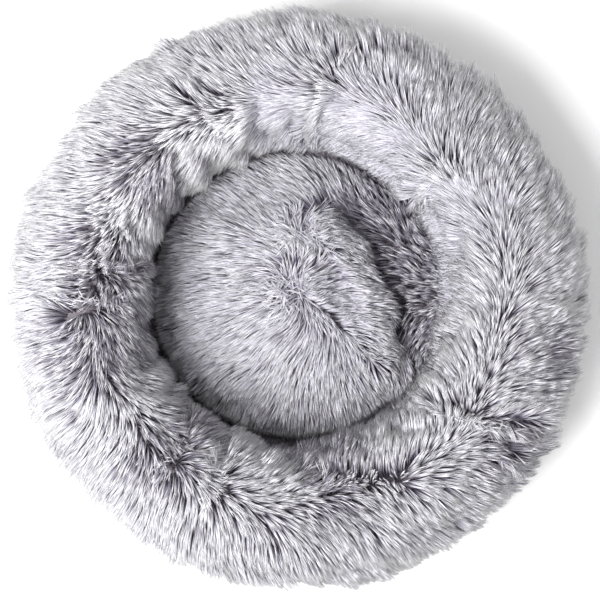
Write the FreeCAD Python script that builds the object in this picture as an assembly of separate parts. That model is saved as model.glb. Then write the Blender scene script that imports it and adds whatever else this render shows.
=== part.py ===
"""Round plush pet bed: a stuffed ring bolster around a padded well, in a zipped cover.

Millimetres. The origin is the middle of the resting plane, +Z is up, and the zip in the underside
runs along X. A pile solid is the plush fabric with its pile: its outer face is where the fibre
tips end, and its inner face is the woven backing.
"""

import FreeCAD
import Part

import math
import os

V = FreeCAD.Vector
UP = V(0, 0, 1)
ORIGIN = V(0, 0, 0)
BIG = 2000.0  # larger than the bed, for cutting blocks
OVERCUT = 1.0  # how far a cutting tool runs past what it cuts

# --- bolster -------------------------------------------------------------------------------
OVERALL_DIAMETER = 600.0  # over the fibre tips, at the bolster's widest level
OVERALL_HEIGHT = 195.0  # over the fibre tips, at the crest
WELL_DIAMETER = 300.0  # between the fibre tips, at the bolster's narrowest level
CREST_OFFSET = 55.0  # from the well's wall out to the crest
GIRTH_HEIGHT = 85.0  # level at which the bolster is widest and the well narrowest
LOWER_DROP = 150.0  # semi-axis of the lower quarters: the larger, the steeper the sides
BOLSTER_PILE = 24.0  # backing and fibre, on the ring

# --- padded well ---------------------------------------------------------------------------
PAD_PILE = 22.0  # backing and fibre, on the well's floor
PAD_CROWN_HEIGHT = 58.0  # top of the floor's backing, at the middle
WELL_SEAM_HEIGHT = 38.0  # level at which floor and ring are sewn together
FLOOR_BACKING = 1.5  # woven backing under the floor's pile, and the flange that is sewn
PILE_GAP = 1.0  # between the floor's pile and the wall's pile
PAD_INSERT_GAP = 5.0  # between the two inserts

# --- inserts -------------------------------------------------------------------------------
LINER_THICKNESS = 1.0
INSERT_CLEARANCE = 0.5  # between a liner and the cover around it
DOME_CLEARANCE = 1.0  # between the pad's liner and the floor's backing above it
SHOULDER_DROP = 1.0  # from the dome's edge down to the pad's shoulder

# --- underside -----------------------------------------------------------------------------
BASE_THICKNESS = 1.5
DOT_HEIGHT = 0.5
DOT_DIAMETER = 5.0
DOT_PITCH = 25.0
DOT_MARGIN = 6.0  # from a dot's edge to the base's rim or to the zip's groove
BINDING_WIDTH = 5.0
BINDING_HEIGHT = 6.0
BINDING_ROUND = 1.2
THREAD_DIAMETER = 0.5
EDGE_STITCH_INSET = 3.0  # from the binding in to the stitch line
WELL_STITCH_INSET = 12.0  # from the flange's rim in to the stitch line

# --- zip -----------------------------------------------------------------------------------
ZIP_END_MARGIN = 12.0  # from the groove's end to the binding
ZIP_HEIGHT = 9.0  # chain's mid-plane above the resting plane
LIP_CLEARANCE = 1.5  # from the slider to the base's folded edge
LIP_WIDTH = 7.0  # flat lip that the tape is sewn to, with the stitches along its middle
GROOVE_SLOPE_WIDTH = 12.0  # from the lip out to the flat base
COIL_ROW_WIDTH = 2.4
COIL_THICKNESS = 2.5
CHAIN_GAP = 1.2  # between the two coil rows, for the slider's post
TAPE_WIDTH = 13.0
TAPE_THICKNESS = 0.6
TAPE_LAP = 3.0  # how far the tapes run on over the slot's ends
STOP_LENGTH = 3.0
STOP_PROUD = 0.25  # how far a stop stands proud of the coil, above and below
SLIDER_LENGTH = 13.0
SLIDER_WALL = 1.3  # side walls, which hug the chain
SLIDER_FLARE = 0.9  # how much wider the shoulders are than the walls, on each side
SLIDER_PLATE = 1.2
SLIDER_CLEARANCE = 0.3  # round the chain and the tape
SLIDER_NOSE_TAPER = 2.5
SLIDER_NOSE_LENGTH = 0.8  # the plates' slanted nose
SLIDER_SHOULDER = 2.5  # from the nose back to the widest place
SLIDER_THROAT = 5.0  # from the nose back to where the side walls start
SLIDER_TAIL_TAPER = 0.9
SLIDER_TAIL_LENGTH = 1.5  # the plates' slanted tail
SLIDER_POST_LENGTH = 4.0
SLIDER_POST_INSET = 1.0  # from the nose back to the post
SLIDER_STOP_GAP = 0.4  # slider to stop, at either end of the travel
BAIL_WIDTH = 2.4
BAIL_LENGTH = 7.0
BAIL_THICKNESS = 1.0
BAIL_ROUND = 0.9
PULL_PIN_DIAMETER = 1.4
PULL_ARM_WIDTH = 1.6
PULL_YOKE_GAP = 1.3  # from the bail to the leaf
PULL_LENGTH = 27.0
PULL_END_CLEARANCE = 1.0  # from the pull's tip to the groove's end slope, with the zip open
PULL_THICKNESS = 1.2
PULL_CORNER = 2.4
PULL_HOLE_DIAMETER = 3.0
PULL_HOLE_MARGIN = 2.5  # from the leaf's tip to the hole

# --- care label ----------------------------------------------------------------------------
LABEL_WIDTH = 30.0
LABEL_LENGTH = 24.0
LABEL_THICKNESS = 0.8

# --- places that follow from the sizes -----------------------------------------------------
well_radius = WELL_DIAMETER / 2
crest_radius = well_radius + CREST_OFFSET
outer_reach = OVERALL_DIAMETER / 2 - crest_radius


def ring_radius(inset, height, outer):
    """Radius of the ring's lower outline at a height below the girth, set in by inset."""
    reach = (outer_reach if outer else CREST_OFFSET) - inset
    share = math.sqrt(1 - ((GIRTH_HEIGHT - height) / (LOWER_DROP - inset)) ** 2)
    return crest_radius + (reach if outer else -reach) * share


base_radius = ring_radius(BOLSTER_PILE, BINDING_HEIGHT, True)
base_bottom = max(DOT_HEIGHT, THREAD_DIAMETER)
base_top = base_bottom + BASE_THICKNESS
insert_bottom = base_top + INSERT_CLEARANCE
coil_outer = CHAIN_GAP / 2 + COIL_ROW_WIDTH
slider_side = coil_outer + SLIDER_CLEARANCE + SLIDER_WALL
slider_shoulder = slider_side + SLIDER_FLARE
lip_edge = slider_shoulder + LIP_CLEARANCE
lip_outer = lip_edge + LIP_WIDTH
groove_half_width = lip_outer + GROOVE_SLOPE_WIDTH
groove_half_length = base_radius - ZIP_END_MARGIN - groove_half_width
slider_middle = groove_half_length + lip_outer - PULL_END_CLEARANCE - PULL_LENGTH
slider_travel = 2 * slider_middle
zip_half_length = slider_middle + SLIDER_LENGTH / 2 + SLIDER_STOP_GAP
tape_bottom = ZIP_HEIGHT - TAPE_THICKNESS / 2
tape_top = ZIP_HEIGHT + TAPE_THICKNESS / 2
coil_bottom = ZIP_HEIGHT - COIL_THICKNESS / 2
coil_top = ZIP_HEIGHT + COIL_THICKNESS / 2
plate_inner = COIL_THICKNESS / 2 + SLIDER_CLEARANCE
plate_outer = plate_inner + SLIDER_PLATE
pin_height = ZIP_HEIGHT - plate_outer - SLIDER_CLEARANCE - PULL_PIN_DIAMETER / 2
bail_window_low = pin_height - PULL_PIN_DIAMETER / 2 - SLIDER_CLEARANCE
flange_radius = ring_radius(BOLSTER_PILE, WELL_SEAM_HEIGHT, False)
floor_pile_radius = well_radius - PILE_GAP
pad_radius = flange_radius - PAD_INSERT_GAP


# --- helpers -------------------------------------------------------------------------------
def quarter(start, corner, end):
    """Exact quarter of an ellipse from start to end, inside the corner of its box."""
    curve = Part.BSplineCurve()
    weights = [1.0, math.sqrt(0.5), 1.0]
    curve.buildFromPolesMultsKnots([start, corner, end], [3, 3], [0.0, 1.0], False, 2, weights)
    return curve.toShape()


def spun(wire_edges):
    """Solid of revolution about Z of a closed outline in the XZ plane."""
    return Part.Face(Part.Wire(wire_edges)).revolve(ORIGIN, UP, 360)


def polygon_face(points):
    return Part.Face(Part.makePolygon(points + points[:1]))


def block(x0, x1, y0, y1, z0, z1):
    return Part.makeBox(x1 - x0, y1 - y0, z1 - z0, V(x0, y0, z0))


def disc(radius, z0, z1):
    return Part.makeCylinder(radius, z1 - z0, V(0, 0, z0))


def egg(inset):
    """Ring whose section is four quarter ellipses that meet at crest, girth and foot."""
    crest = V(crest_radius, 0, OVERALL_HEIGHT - inset)
    foot = V(crest_radius, 0, GIRTH_HEIGHT - LOWER_DROP + inset)
    outer = V(crest_radius + outer_reach - inset, 0, GIRTH_HEIGHT)
    inner = V(well_radius + inset, 0, GIRTH_HEIGHT)
    edges = [
        quarter(crest, V(outer.x, 0, crest.z), outer),
        quarter(outer, V(outer.x, 0, foot.z), foot),
        quarter(foot, V(inner.x, 0, foot.z), inner),
        quarter(inner, V(inner.x, 0, crest.z), crest),
    ]
    return spun(edges)


def above(shape, height):
    return shape.cut(block(-BIG, BIG, -BIG, BIG, -BIG, height))


def stadium(half_width, z0, z1):
    """Long round-ended prism around the zip."""
    length = groove_half_length
    body = block(-length, length, -half_width, half_width, z0, z1)
    ends = [Part.makeCylinder(half_width, z1 - z0, V(side * length, 0, z0)) for side in (-1, 1)]
    return body.fuse(ends).removeSplitter()


def zip_tunnel(grow):
    """Space that the groove and the slider take under the inserts."""
    return stadium(groove_half_width + grow, -OVERCUT, ZIP_HEIGHT + plate_outer + grow)


def groove_ring():
    """The base fabric where it rises to the zip, all round the slot."""
    lip_top = tape_bottom
    lip_bottom = lip_top - BASE_THICKNESS
    outline = [
        (groove_half_width, base_bottom),
        (lip_outer, lip_bottom),
        (lip_edge, lip_bottom),
        (lip_edge, lip_top),
        (lip_outer, lip_top),
        (groove_half_width, base_top),
    ]
    length = groove_half_length
    pieces = []
    for side in (-1, 1):
        along = polygon_face([V(-length, side * d, z) for d, z in outline])
        pieces.append(along.extrude(V(2 * length, 0, 0)))
        end = polygon_face([V(side * length, side * d, z) for d, z in outline])
        pieces.append(end.revolve(V(side * length, 0, 0), UP, -180))
    return pieces[0].fuse(pieces[1:]).removeSplitter()


# --- bolster -------------------------------------------------------------------------------
def make_bolster_cover():
    shell = egg(0).cut(egg(BOLSTER_PILE))
    shell = above(shell, BINDING_HEIGHT)
    under_well_seam = disc(crest_radius, -OVERCUT, WELL_SEAM_HEIGHT)
    return shell.cut(under_well_seam)


def bolster_insert(inset):
    """Insert's outer shape, flat underneath and hollowed over the zip."""
    extra = inset - BOLSTER_PILE - INSERT_CLEARANCE
    body = above(egg(inset), insert_bottom + extra)
    return body.cut(zip_tunnel(INSERT_CLEARANCE + extra))


def make_bolster_liner_and_fill():
    outer_inset = BOLSTER_PILE + INSERT_CLEARANCE
    fill = bolster_insert(outer_inset + LINER_THICKNESS)
    return bolster_insert(outer_inset).cut(fill), fill


# --- padded well ---------------------------------------------------------------------------
def dome_arc(lowering, radius):
    """(arc edge, rim point, crown point) of the floor's backing, lowered, out to a radius."""
    crown = PAD_CROWN_HEIGHT
    sagitta = crown - WELL_SEAM_HEIGHT
    sphere = (floor_pile_radius**2 + sagitta**2) / (2 * sagitta)
    middle = crown - sphere
    size = sphere - lowering

    def at(r):
        return V(r, 0, middle + math.sqrt(size**2 - r**2))

    arc = Part.Arc(at(radius), at(radius / 2), at(0)).toShape()
    return arc, at(radius), at(0)


def line(a, b):
    return Part.LineSegment(a, b).toShape()


def make_well_panel():
    top, top_rim, top_crown = dome_arc(-PAD_PILE, floor_pile_radius)
    low, low_rim, low_crown = dome_arc(FLOOR_BACKING, floor_pile_radius)
    pile = spun([top, line(top_crown, low_crown), low, line(low_rim, top_rim)])
    seam_bottom = WELL_SEAM_HEIGHT - FLOOR_BACKING
    flange = disc(flange_radius, seam_bottom, WELL_SEAM_HEIGHT)
    return pile.fuse(flange.cut(disc(floor_pile_radius, 0, OVERALL_HEIGHT))).removeSplitter()


def pad_insert(inset):
    """Insert's outer shape under the floor, flat underneath and hollowed over the zip."""
    radius = pad_radius - inset
    bottom = insert_bottom + inset
    under_seam = WELL_SEAM_HEIGHT - FLOOR_BACKING - INSERT_CLEARANCE - inset
    arc, rim, crown = dome_arc(FLOOR_BACKING + DOME_CLEARANCE + inset, floor_pile_radius - inset)
    shoulder = V(radius, 0, min(under_seam, rim.z) - SHOULDER_DROP)
    corners = [rim, shoulder, V(radius, 0, bottom), V(0, 0, bottom), crown]
    edges = [arc] + [line(a, b) for a, b in zip(corners, corners[1:])]
    return spun(edges).cut(zip_tunnel(INSERT_CLEARANCE + inset))


def make_pad_liner_and_fill():
    fill = pad_insert(LINER_THICKNESS)
    return pad_insert(0).cut(fill), fill


# --- underside -----------------------------------------------------------------------------
def make_base_panels():
    whole = disc(base_radius, base_bottom, base_top)
    opened = whole.cut(stadium(groove_half_width, 0, base_top + OVERCUT))
    whole = opened.fuse(groove_ring()).removeSplitter()
    front = whole.cut(block(-BIG, BIG, 0, BIG, -BIG, BIG))
    rear = whole.cut(block(-BIG, BIG, -BIG, 0, -BIG, BIG))
    return front, rear


def make_anti_slip_dots():
    radius = DOT_DIAMETER / 2
    keep_in = base_radius - EDGE_STITCH_INSET - DOT_MARGIN - radius
    keep_off = groove_half_width + DOT_MARGIN + radius
    steps = int(base_radius / DOT_PITCH) + 1
    dots = []
    for i in range(-steps, steps + 1):
        for j in range(-steps, steps + 1):
            x = (i + 0.5) * DOT_PITCH
            y = (j + 0.5) * DOT_PITCH
            off_zip = math.hypot(max(abs(x) - groove_half_length, 0), y)
            if math.hypot(x, y) < keep_in and off_zip > keep_off:
                dots.append(Part.makeCylinder(radius, DOT_HEIGHT, V(x, y, base_bottom - DOT_HEIGHT)))
    return Part.makeCompound(dots)


def make_edge_binding():
    ring = disc(base_radius + BINDING_WIDTH, 0, BINDING_HEIGHT)
    rounded = [e for e in ring.Edges if e.Curve.TypeId == "Part::GeomCircle" and e.isClosed()]
    ring = ring.makeFillet(BINDING_ROUND, rounded)
    return ring.cut(disc(base_radius, -OVERCUT, BINDING_HEIGHT + OVERCUT))


def thread_ring(radius, height):
    return Part.makeTorus(radius, THREAD_DIAMETER / 2, V(0, 0, height))


# --- zip -----------------------------------------------------------------------------------
def make_tape(side):
    length = groove_half_length + lip_edge + TAPE_LAP
    near, far = side * coil_outer, side * (coil_outer + TAPE_WIDTH)
    return block(-length, length, min(near, far), max(near, far), tape_bottom, tape_top)


def make_coil_row(side):
    length = zip_half_length
    near, far = side * CHAIN_GAP / 2, side * coil_outer
    row = block(-length, length, min(near, far), max(near, far), coil_bottom, coil_top)
    long_edges = [e for e in row.Edges if e.Length > length]
    return row.makeFillet(COIL_ROW_WIDTH / 4, long_edges)


def make_top_stops():
    stops = []
    for side in (-1, 1):
        near, far = sorted((side * CHAIN_GAP / 2, side * coil_outer))
        low, high = coil_bottom - STOP_PROUD, coil_top + STOP_PROUD
        stop = block(zip_half_length, zip_half_length + STOP_LENGTH, near, far, low, high)
        stops.append(stop.makeFillet(COIL_ROW_WIDTH / 6, stop.Edges))
    return Part.makeCompound(stops)


def make_bottom_stop():
    low, high = coil_bottom - STOP_PROUD, coil_top + STOP_PROUD
    end = -zip_half_length
    stop = block(end - STOP_LENGTH, end, -coil_outer, coil_outer, low, high)
    return stop.makeFillet(COIL_ROW_WIDTH / 6, stop.Edges)


def make_zip_stitching():
    length = groove_half_length
    height = tape_bottom - BASE_THICKNESS - THREAD_DIAMETER / 2
    lines = []
    for side in (-1, 1):
        start = V(-length, side * (lip_edge + LIP_WIDTH / 2), height)
        lines.append(Part.makeCylinder(THREAD_DIAMETER / 2, 2 * length, start, V(1, 0, 0)))
    return Part.makeCompound(lines)


def slider_plate(z0, z1):
    """Shield-shaped plate, wide where the two rows come in."""
    nose = slider_middle + SLIDER_LENGTH / 2
    tail = slider_middle - SLIDER_LENGTH / 2
    half_outline = [
        (tail, slider_side - SLIDER_TAIL_TAPER),
        (tail + SLIDER_TAIL_LENGTH, slider_side),
        (nose - SLIDER_THROAT, slider_side),
        (nose - SLIDER_SHOULDER, slider_shoulder),
        (nose - SLIDER_NOSE_LENGTH, slider_shoulder),
        (nose, slider_shoulder - SLIDER_NOSE_TAPER),
    ]
    left = [V(x, -y, z0) for x, y in half_outline]
    right = [V(x, y, z0) for x, y in reversed(half_outline)]
    return polygon_face(left + right).extrude(V(0, 0, z1 - z0))


def make_slider_walls():
    """The flanges between the plates, open in the middle of their height for the tape."""
    inside = coil_outer + SLIDER_CLEARANCE
    tape_slot = TAPE_THICKNESS / 2 + SLIDER_CLEARANCE
    x0 = slider_middle - SLIDER_LENGTH / 2 + SLIDER_TAIL_LENGTH
    x1 = slider_middle + SLIDER_LENGTH / 2 - SLIDER_THROAT
    walls = []
    for side in (-1, 1):
        near, far = sorted((side * inside, side * slider_side))
        walls.append(block(x0, x1, near, far, ZIP_HEIGHT - plate_inner, ZIP_HEIGHT - tape_slot))
        walls.append(block(x0, x1, near, far, ZIP_HEIGHT + tape_slot, ZIP_HEIGHT + plate_inner))
    return walls


def make_slider_post():
    """The wedge between the two coil rows."""
    half = CHAIN_GAP / 2 - SLIDER_CLEARANCE
    front = slider_middle + SLIDER_LENGTH / 2 - SLIDER_POST_INSET
    low, high = ZIP_HEIGHT - plate_inner, ZIP_HEIGHT + plate_inner
    return block(front - SLIDER_POST_LENGTH, front, -half, half, low, high)


def make_bail():
    """The bridge under the slider that holds the pull tab's pin."""
    half = BAIL_LENGTH / 2
    width = BAIL_WIDTH / 2
    plate_low = ZIP_HEIGHT - plate_outer
    x0, x1 = slider_middle - half, slider_middle + half
    bail = block(x0, x1, -width, width, bail_window_low - BAIL_THICKNESS, plate_low)
    low_ends = [
        e for e in bail.Edges if e.BoundBox.ZMax < bail_window_low and e.BoundBox.XLength < width
    ]
    bail = bail.makeFillet(BAIL_ROUND, low_ends)
    x0, x1 = x0 + BAIL_THICKNESS, x1 - BAIL_THICKNESS
    return bail.cut(block(x0, x1, -BAIL_WIDTH, BAIL_WIDTH, bail_window_low, plate_low))


def make_slider():
    lower = slider_plate(ZIP_HEIGHT - plate_outer, ZIP_HEIGHT - plate_inner)
    upper = slider_plate(ZIP_HEIGHT + plate_inner, ZIP_HEIGHT + plate_outer)
    rest = [upper, make_slider_post(), make_bail()] + make_slider_walls()
    return lower.fuse(rest).removeSplitter()


def make_pull_tab():
    """Yoke with a round cross pin in the slider's bail, and a leaf towards the open end."""
    arm_near = BAIL_WIDTH / 2 + SLIDER_CLEARANCE
    arm_far = arm_near + PULL_ARM_WIDTH
    low, high = pin_height - PULL_THICKNESS / 2, pin_height + PULL_THICKNESS / 2
    leaf_start = slider_middle - BAIL_LENGTH / 2 - PULL_YOKE_GAP
    tip = slider_middle - PULL_LENGTH
    pin_end = V(slider_middle, -arm_far, pin_height)
    pieces = [Part.makeCylinder(PULL_PIN_DIAMETER / 2, 2 * arm_far, pin_end, V(0, 1, 0))]
    for side in (-1, 1):
        near, far = sorted((side * arm_near, side * arm_far))
        pieces.append(block(leaf_start, slider_middle, near, far, low, high))
    leaf = block(tip, leaf_start, -arm_far, arm_far, low, high)
    tip_corners = [
        e for e in leaf.Edges if e.BoundBox.XMax < leaf_start and e.BoundBox.YLength < arm_far
    ]
    leaf = leaf.makeFillet(min(PULL_CORNER, 0.9 * arm_far), tip_corners)
    hole_middle = tip + PULL_HOLE_MARGIN + PULL_HOLE_DIAMETER / 2
    hole_start = V(hole_middle, 0, low - OVERCUT)
    hole = Part.makeCylinder(PULL_HOLE_DIAMETER / 2, PULL_THICKNESS + 2 * OVERCUT, hole_start)
    return leaf.cut(hole).fuse(pieces).removeSplitter()


# --- care label ----------------------------------------------------------------------------
def make_care_label():
    """Folded tape held in the binding's seam, half way up it."""
    start = base_radius + BINDING_WIDTH
    low = (BINDING_HEIGHT - LABEL_THICKNESS) / 2
    high = low + LABEL_THICKNESS
    half = LABEL_WIDTH / 2
    label = block(-half, half, base_radius, start + LABEL_LENGTH, low, high)
    return label.cut(disc(start, -OVERCUT, BINDING_HEIGHT + OVERCUT))


def make_all():
    bolster_liner, bolster_fill = make_bolster_liner_and_fill()
    pad_liner, pad_fill = make_pad_liner_and_fill()
    base_front, base_rear = make_base_panels()
    stitch_height = base_bottom - THREAD_DIAMETER / 2
    well_stitch_height = WELL_SEAM_HEIGHT - FLOOR_BACKING - THREAD_DIAMETER / 2
    return {
        "bolster_cover": make_bolster_cover(),
        "bolster_liner": bolster_liner,
        "bolster_fill": bolster_fill,
        "well_panel": make_well_panel(),
        "pad_liner": pad_liner,
        "pad_fill": pad_fill,
        "base_panel_front": base_front,
        "base_panel_rear": base_rear,
        "anti_slip_dots": make_anti_slip_dots(),
        "edge_binding": make_edge_binding(),
        "edge_stitching": thread_ring(base_radius - EDGE_STITCH_INSET, stitch_height),
        "well_seam_stitching": thread_ring(flange_radius - WELL_STITCH_INSET, well_stitch_height),
        "zip_tape_front": make_tape(-1),
        "zip_tape_rear": make_tape(1),
        "zip_coil_front": make_coil_row(-1),
        "zip_coil_rear": make_coil_row(1),
        "zip_top_stops": make_top_stops(),
        "zip_bottom_stop": make_bottom_stop(),
        "zip_stitching": make_zip_stitching(),
        "zip_slider": make_slider(),
        "zip_pull_tab": make_pull_tab(),
        "care_label": make_care_label(),
    }


def main():
    os.makedirs("parts", exist_ok=True)
    for name, shape in make_all().items():
        shape.exportStep(f"parts/{name}.step")
        count = len(shape.Solids)
        print(f"{name}: {count} solid(s), {shape.Volume / 1000:.1f} cm3, valid {shape.isValid()}")
    print(f"slider_travel {slider_travel:.3f} slider_middle {slider_middle:.3f}")
    print(f"pin_height {pin_height:.3f} base_radius {base_radius:.3f}")


main()
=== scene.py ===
"""Looks of the round plush pet bed, in metres, in the CAD model's own frame.

Two skins carry the pile: the ring bolster's and the well floor's. Each is a closed, stuffed shape
that Cloth puffs up, and each strand of the pile is a thin closed spike that grows from it, combed
by a direction field. The underside, with its zip, is built piece by piece where the CAD has it.
"""
import math

import bpy
import numpy as np
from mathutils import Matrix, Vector, kdtree


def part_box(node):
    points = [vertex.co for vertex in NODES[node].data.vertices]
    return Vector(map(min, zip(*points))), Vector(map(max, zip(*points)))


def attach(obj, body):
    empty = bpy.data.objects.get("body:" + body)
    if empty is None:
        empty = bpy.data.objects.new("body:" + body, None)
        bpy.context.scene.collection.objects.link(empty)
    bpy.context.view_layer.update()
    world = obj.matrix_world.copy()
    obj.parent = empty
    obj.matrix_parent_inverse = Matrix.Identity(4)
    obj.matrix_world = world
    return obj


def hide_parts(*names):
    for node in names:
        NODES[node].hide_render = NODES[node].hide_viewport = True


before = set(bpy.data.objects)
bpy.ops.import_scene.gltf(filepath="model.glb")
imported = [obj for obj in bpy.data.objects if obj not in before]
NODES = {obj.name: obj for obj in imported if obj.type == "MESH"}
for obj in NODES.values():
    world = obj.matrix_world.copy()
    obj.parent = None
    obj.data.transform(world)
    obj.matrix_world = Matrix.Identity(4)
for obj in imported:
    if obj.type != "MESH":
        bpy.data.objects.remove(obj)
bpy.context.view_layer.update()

MM = 0.001
TAU = 2 * math.pi
UP = np.array([0, 0, 1.0])

# --- the ring bolster's section, as the CAD has it ---
TIP_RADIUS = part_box("bolster_cover")[1].x
TIP_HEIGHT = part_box("bolster_cover")[1].z
BASE_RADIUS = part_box("base_panel_rear")[1].x
CREST_RADIUS = 205 * MM
WELL_RADIUS = 150 * MM
GIRTH_HEIGHT = 85 * MM
LOWER_DROP = 150 * MM
BOLSTER_PILE = 24 * MM
SEAM_HEIGHT = 38 * MM
WELL_SHIFT = Vector((-7 * MM, 4 * MM, 0))  # the well isn't quite in the middle
SHIFT_IN_PLAN = np.array(WELL_SHIFT.xy)
SHIFT_LEVELS = (16 * MM, 26 * MM)  # the shift fades out between these, down to the base

# --- the well's floor ---
FLOOR_RADIUS = 149 * MM
WALL_FOOT = 40 * MM  # the pile on the wall round the well begins here
WALL_HANG = 94 * MM  # and it is short below here, and gets the dark row, painted shade, unless it is brushed smooth
WALL_SEEN = 50 * MM  # and gets the dark row, painted shade, everywhere below here
BARE_BELOW = 30 * MM  # no pile grows over the base cloth below here
FLOOR_CROWN = 58 * MM
FLANGE_RADIUS = 174 * MM  # the floor runs on, flat, to where it is sewn to the ring
SEWN_BELOW = 36 * MM  # below this the seams hold the skins, and they can't puff up
# Tables of places below are in mm. The floor's cushion ends in a bank on the right, and the cover
# lies lower between it and the wall.
BANK = [(-6, 112), (20, 92), (45, 63), (62, 40), (76, 10), (84, -15), (90, -45), (92, -68), (86, -92)]
BANK_DROP = 20 * MM
BANK_CREST = 8 * MM
LOWEST_FLOOR = 24 * MM
# Lines where the floor's pile parts and lies down to both sides.
FLOOR_PARTINGS = [
    ((0, 78), (30, 52)), ((-10, 18), (16, -6)), ((16, -6), (40, -27)), ((40, -27), (76, -63)),
]
FLOOR_PARTING_DEPTH = 3 * MM
# How the floor's pile is brushed: a place, and the way its tips point there in degrees.
FLOOR_STROKES = [
    (-40, 140, 150), (10, 138, 140), (-80, 100, 155), (-30, 95, 146), (10, 105, 152), (-130, 60, 178),
    (-75, 50, 170), (-20, 48, 158), (8, 46, 140), (-140, 0, 182), (-85, 0, 182), (-30, 14, 186),
    (2, 24, 20), (24, 12, 5), (-120, -55, 202), (-60, -45, 208), (-22, -12, 210), (-95, -100, 222),
    (-45, -100, 238), (-8, -45, 228), (20, -50, 250), (0, -125, 256), (45, -90, 278), (48, -62, 268),
    (70, -105, 290), (74, -88, 292), (18, 82, 340), (40, 52, 330), (58, 25, 336), (48, 5, 350),
    (72, -5, 352), (62, -28, 348), (84, -48, 335), (50, 126, 132), (85, 105, 138), (75, 75, 170),
    (80, 50, 176), (92, 20, 188), (98, -15, 202), (104, -55, 238), (112, 80, 128), (122, 40, 140),
    (126, 5, 160), (126, -30, 225), (100, -85, 262),
]
STROKE_REACH = 14 * MM
FLOOR_WHORLS = [((-12, 11), 18), ((0, 74), 18)]  # here its strands lie every way: middle and reach
FLOOR_PAINTED_LIGHT_SPOT = (12, -14)  # round here its strands take the pale row: painted light

# --- underside ---
BASE_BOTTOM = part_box("base_panel_rear")[0].z
BASE_THICKNESS = 1.5 * MM
TAPE_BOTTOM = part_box("zip_tape_rear")[0].z
GROOVE_HALF_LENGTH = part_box("zip_stitching")[1].x
SLOT_HALF_WIDTH = 7 * MM  # the base's folded edges along the zip
LIP_REACH = 14 * MM
GROOVE_REACH = 26 * MM
ZIP_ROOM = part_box("zip_slider")[1].z + MM
DOT_PITCH = 25 * MM
DOT_RINGS = ((2.5, 0.5), (2.35, 0.2), (1.5, 0.02))  # radius and level of a dome's rings, in mm
STITCH_PITCH = 5 * MM
STITCH_LENGTH = 3.8 * MM
COIL_PITCH = 1.8 * MM
COIL_WIRE = 0.28 * MM

# --- pile ---
BOLSTER_LOCKS = 84000
FLOOR_LOCKS = 17000
STRANDS_PER_LOCK = 2
LOCKS_PER_TUFT = 5
LOCK_SPREAD = 0.9 * MM
STRAND_LENGTH = 31 * MM
STRAND_RADIUS = 0.52 * MM
BOLSTER_SECTORS = 18  # the pile is this many pieces round the bed
FLOOR_SECTORS = 3
STRAND_RINGS = (0.0, 0.38, 0.72)  # places along a strand that have a ring of three points
STRAND_TAPER = (0.8, 1.0, 0.78)
SHADE_COLUMNS = 32  # the strand map's columns: each is one shade of strand
SHADE_ROWS = 3  # row 0 has dark roots, row 1 is pale, painted light, for brushed-smooth and lit pile, row 2 is dark, painted shade

PILE_CREST_RADIUS = 193 * MM  # where the pile lies neither inwards nor outwards
CREST_SWEEP = 30 * MM  # how far from there it has turned all the way
# How far, in degrees, strands stand up from the skin.
BOLSTER_LEAN = 30
SMOOTH_LEAN = 12
FLOOR_LEAN = 20
# And how much more they stand up on the crest, low on the wall, beside a parting, on the floor's
# bank and in the tufts at the wall's right foot.
CREST_LIFT = 22
WALL_LIFT = 14
SMOOTH_WALL_LIFT = 18
PARTING_LIFT = 24
FLOOR_PARTING_LIFT = 34
BANK_LIFT = 16
TUFT_LIFT = 28

# Swirl of the pile, in degrees from straight away from the crest towards anticlockwise,
# at each angle round the bed in degrees.
OUTER_SWIRL = [
    (0, 36), (45, 28), (75, 28), (100, 30), (120, 42), (150, 26), (185, 8), (220, 18), (250, 25),
    (275, 32), (315, 27),
]
INNER_SWIRL = [
    (0, 4), (45, 14), (80, 30), (100, 36), (125, 52), (160, 76), (200, 30), (240, 20), (270, 24),
    (315, 18),
]
# How much, in percent, neighbouring locks cling together at each angle.
TUFTING = [(0, 30), (60, 22), (110, 28), (150, 8), (190, 12), (225, 22), (260, 40), (290, 52), (330, 50)]
# Lines where the bolster's pile parts and shows its roots: from, to and how strongly.
PARTINGS = [
    ((-110, 196), (-58, 162), 0.3),
    ((37, 226), (6, 162), 0.5),
    ((140, 130), (118, 104), 0.6),
    ((140, -112), (222, -117), 0.8),
    ((28, -182), (95, -172), 0.8),
    ((-82, -186), (-76, -170), 1.0),
    ((-190, 30), (-168, 26), 1.0),
    ((-222, -14), (-196, -8), 0.9),
    ((-122, -158), (-112, -134), 0.8),
    ((-150, -74), (-128, -66), 0.7),
    ((190, -136), (204, -150), 0.9),
]
# Places where the bolster's pile is rumpled and gets painted shade, and where it is brushed smooth and
# gets painted light: middle and reach.
RUMPLED_PATCHES_WITH_PAINTED_SHADE = [
    ((-168, 22), 54), ((-200, -40), 42), ((-128, -136), 40), ((24, -172), 44), ((192, -146), 36),
    ((-142, 136), 34), ((232, -60), 30),
]
SMOOTH_PATCHES_WITH_PAINTED_LIGHT = [((66, 160), 50), ((100, 130), 42), ((146, 60), 54), ((152, 10), 36), ((-8, 186), 36)]

rng = np.random.default_rng(7)


# --- small helpers ---
def smoothstep(low, high, x):
    t = np.clip((x - low) / (high - low), 0, 1)
    return t * t * (3 - 2 * t)


def unit(v):
    return v / np.maximum(np.linalg.norm(v, axis=-1, keepdims=True), 1e-12)


def dot(a, b):
    return (a * b).sum(-1, keepdims=True)


def near(distance, reach):
    """1 at no distance, and fading to 0 beyond the reach."""
    return np.exp(-((distance / reach) ** 2))


def round_table(table, degrees):
    """Values of a table of (angle, value), read smoothly all the way round."""
    angles = [a for a, _ in table]
    values = [v for _, v in table]
    angles = [angles[-1] - 360] + angles + [angles[0] + 360]
    values = [values[-1]] + values + [values[0]]
    return np.interp(np.mod(degrees, 360), angles, values)


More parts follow.
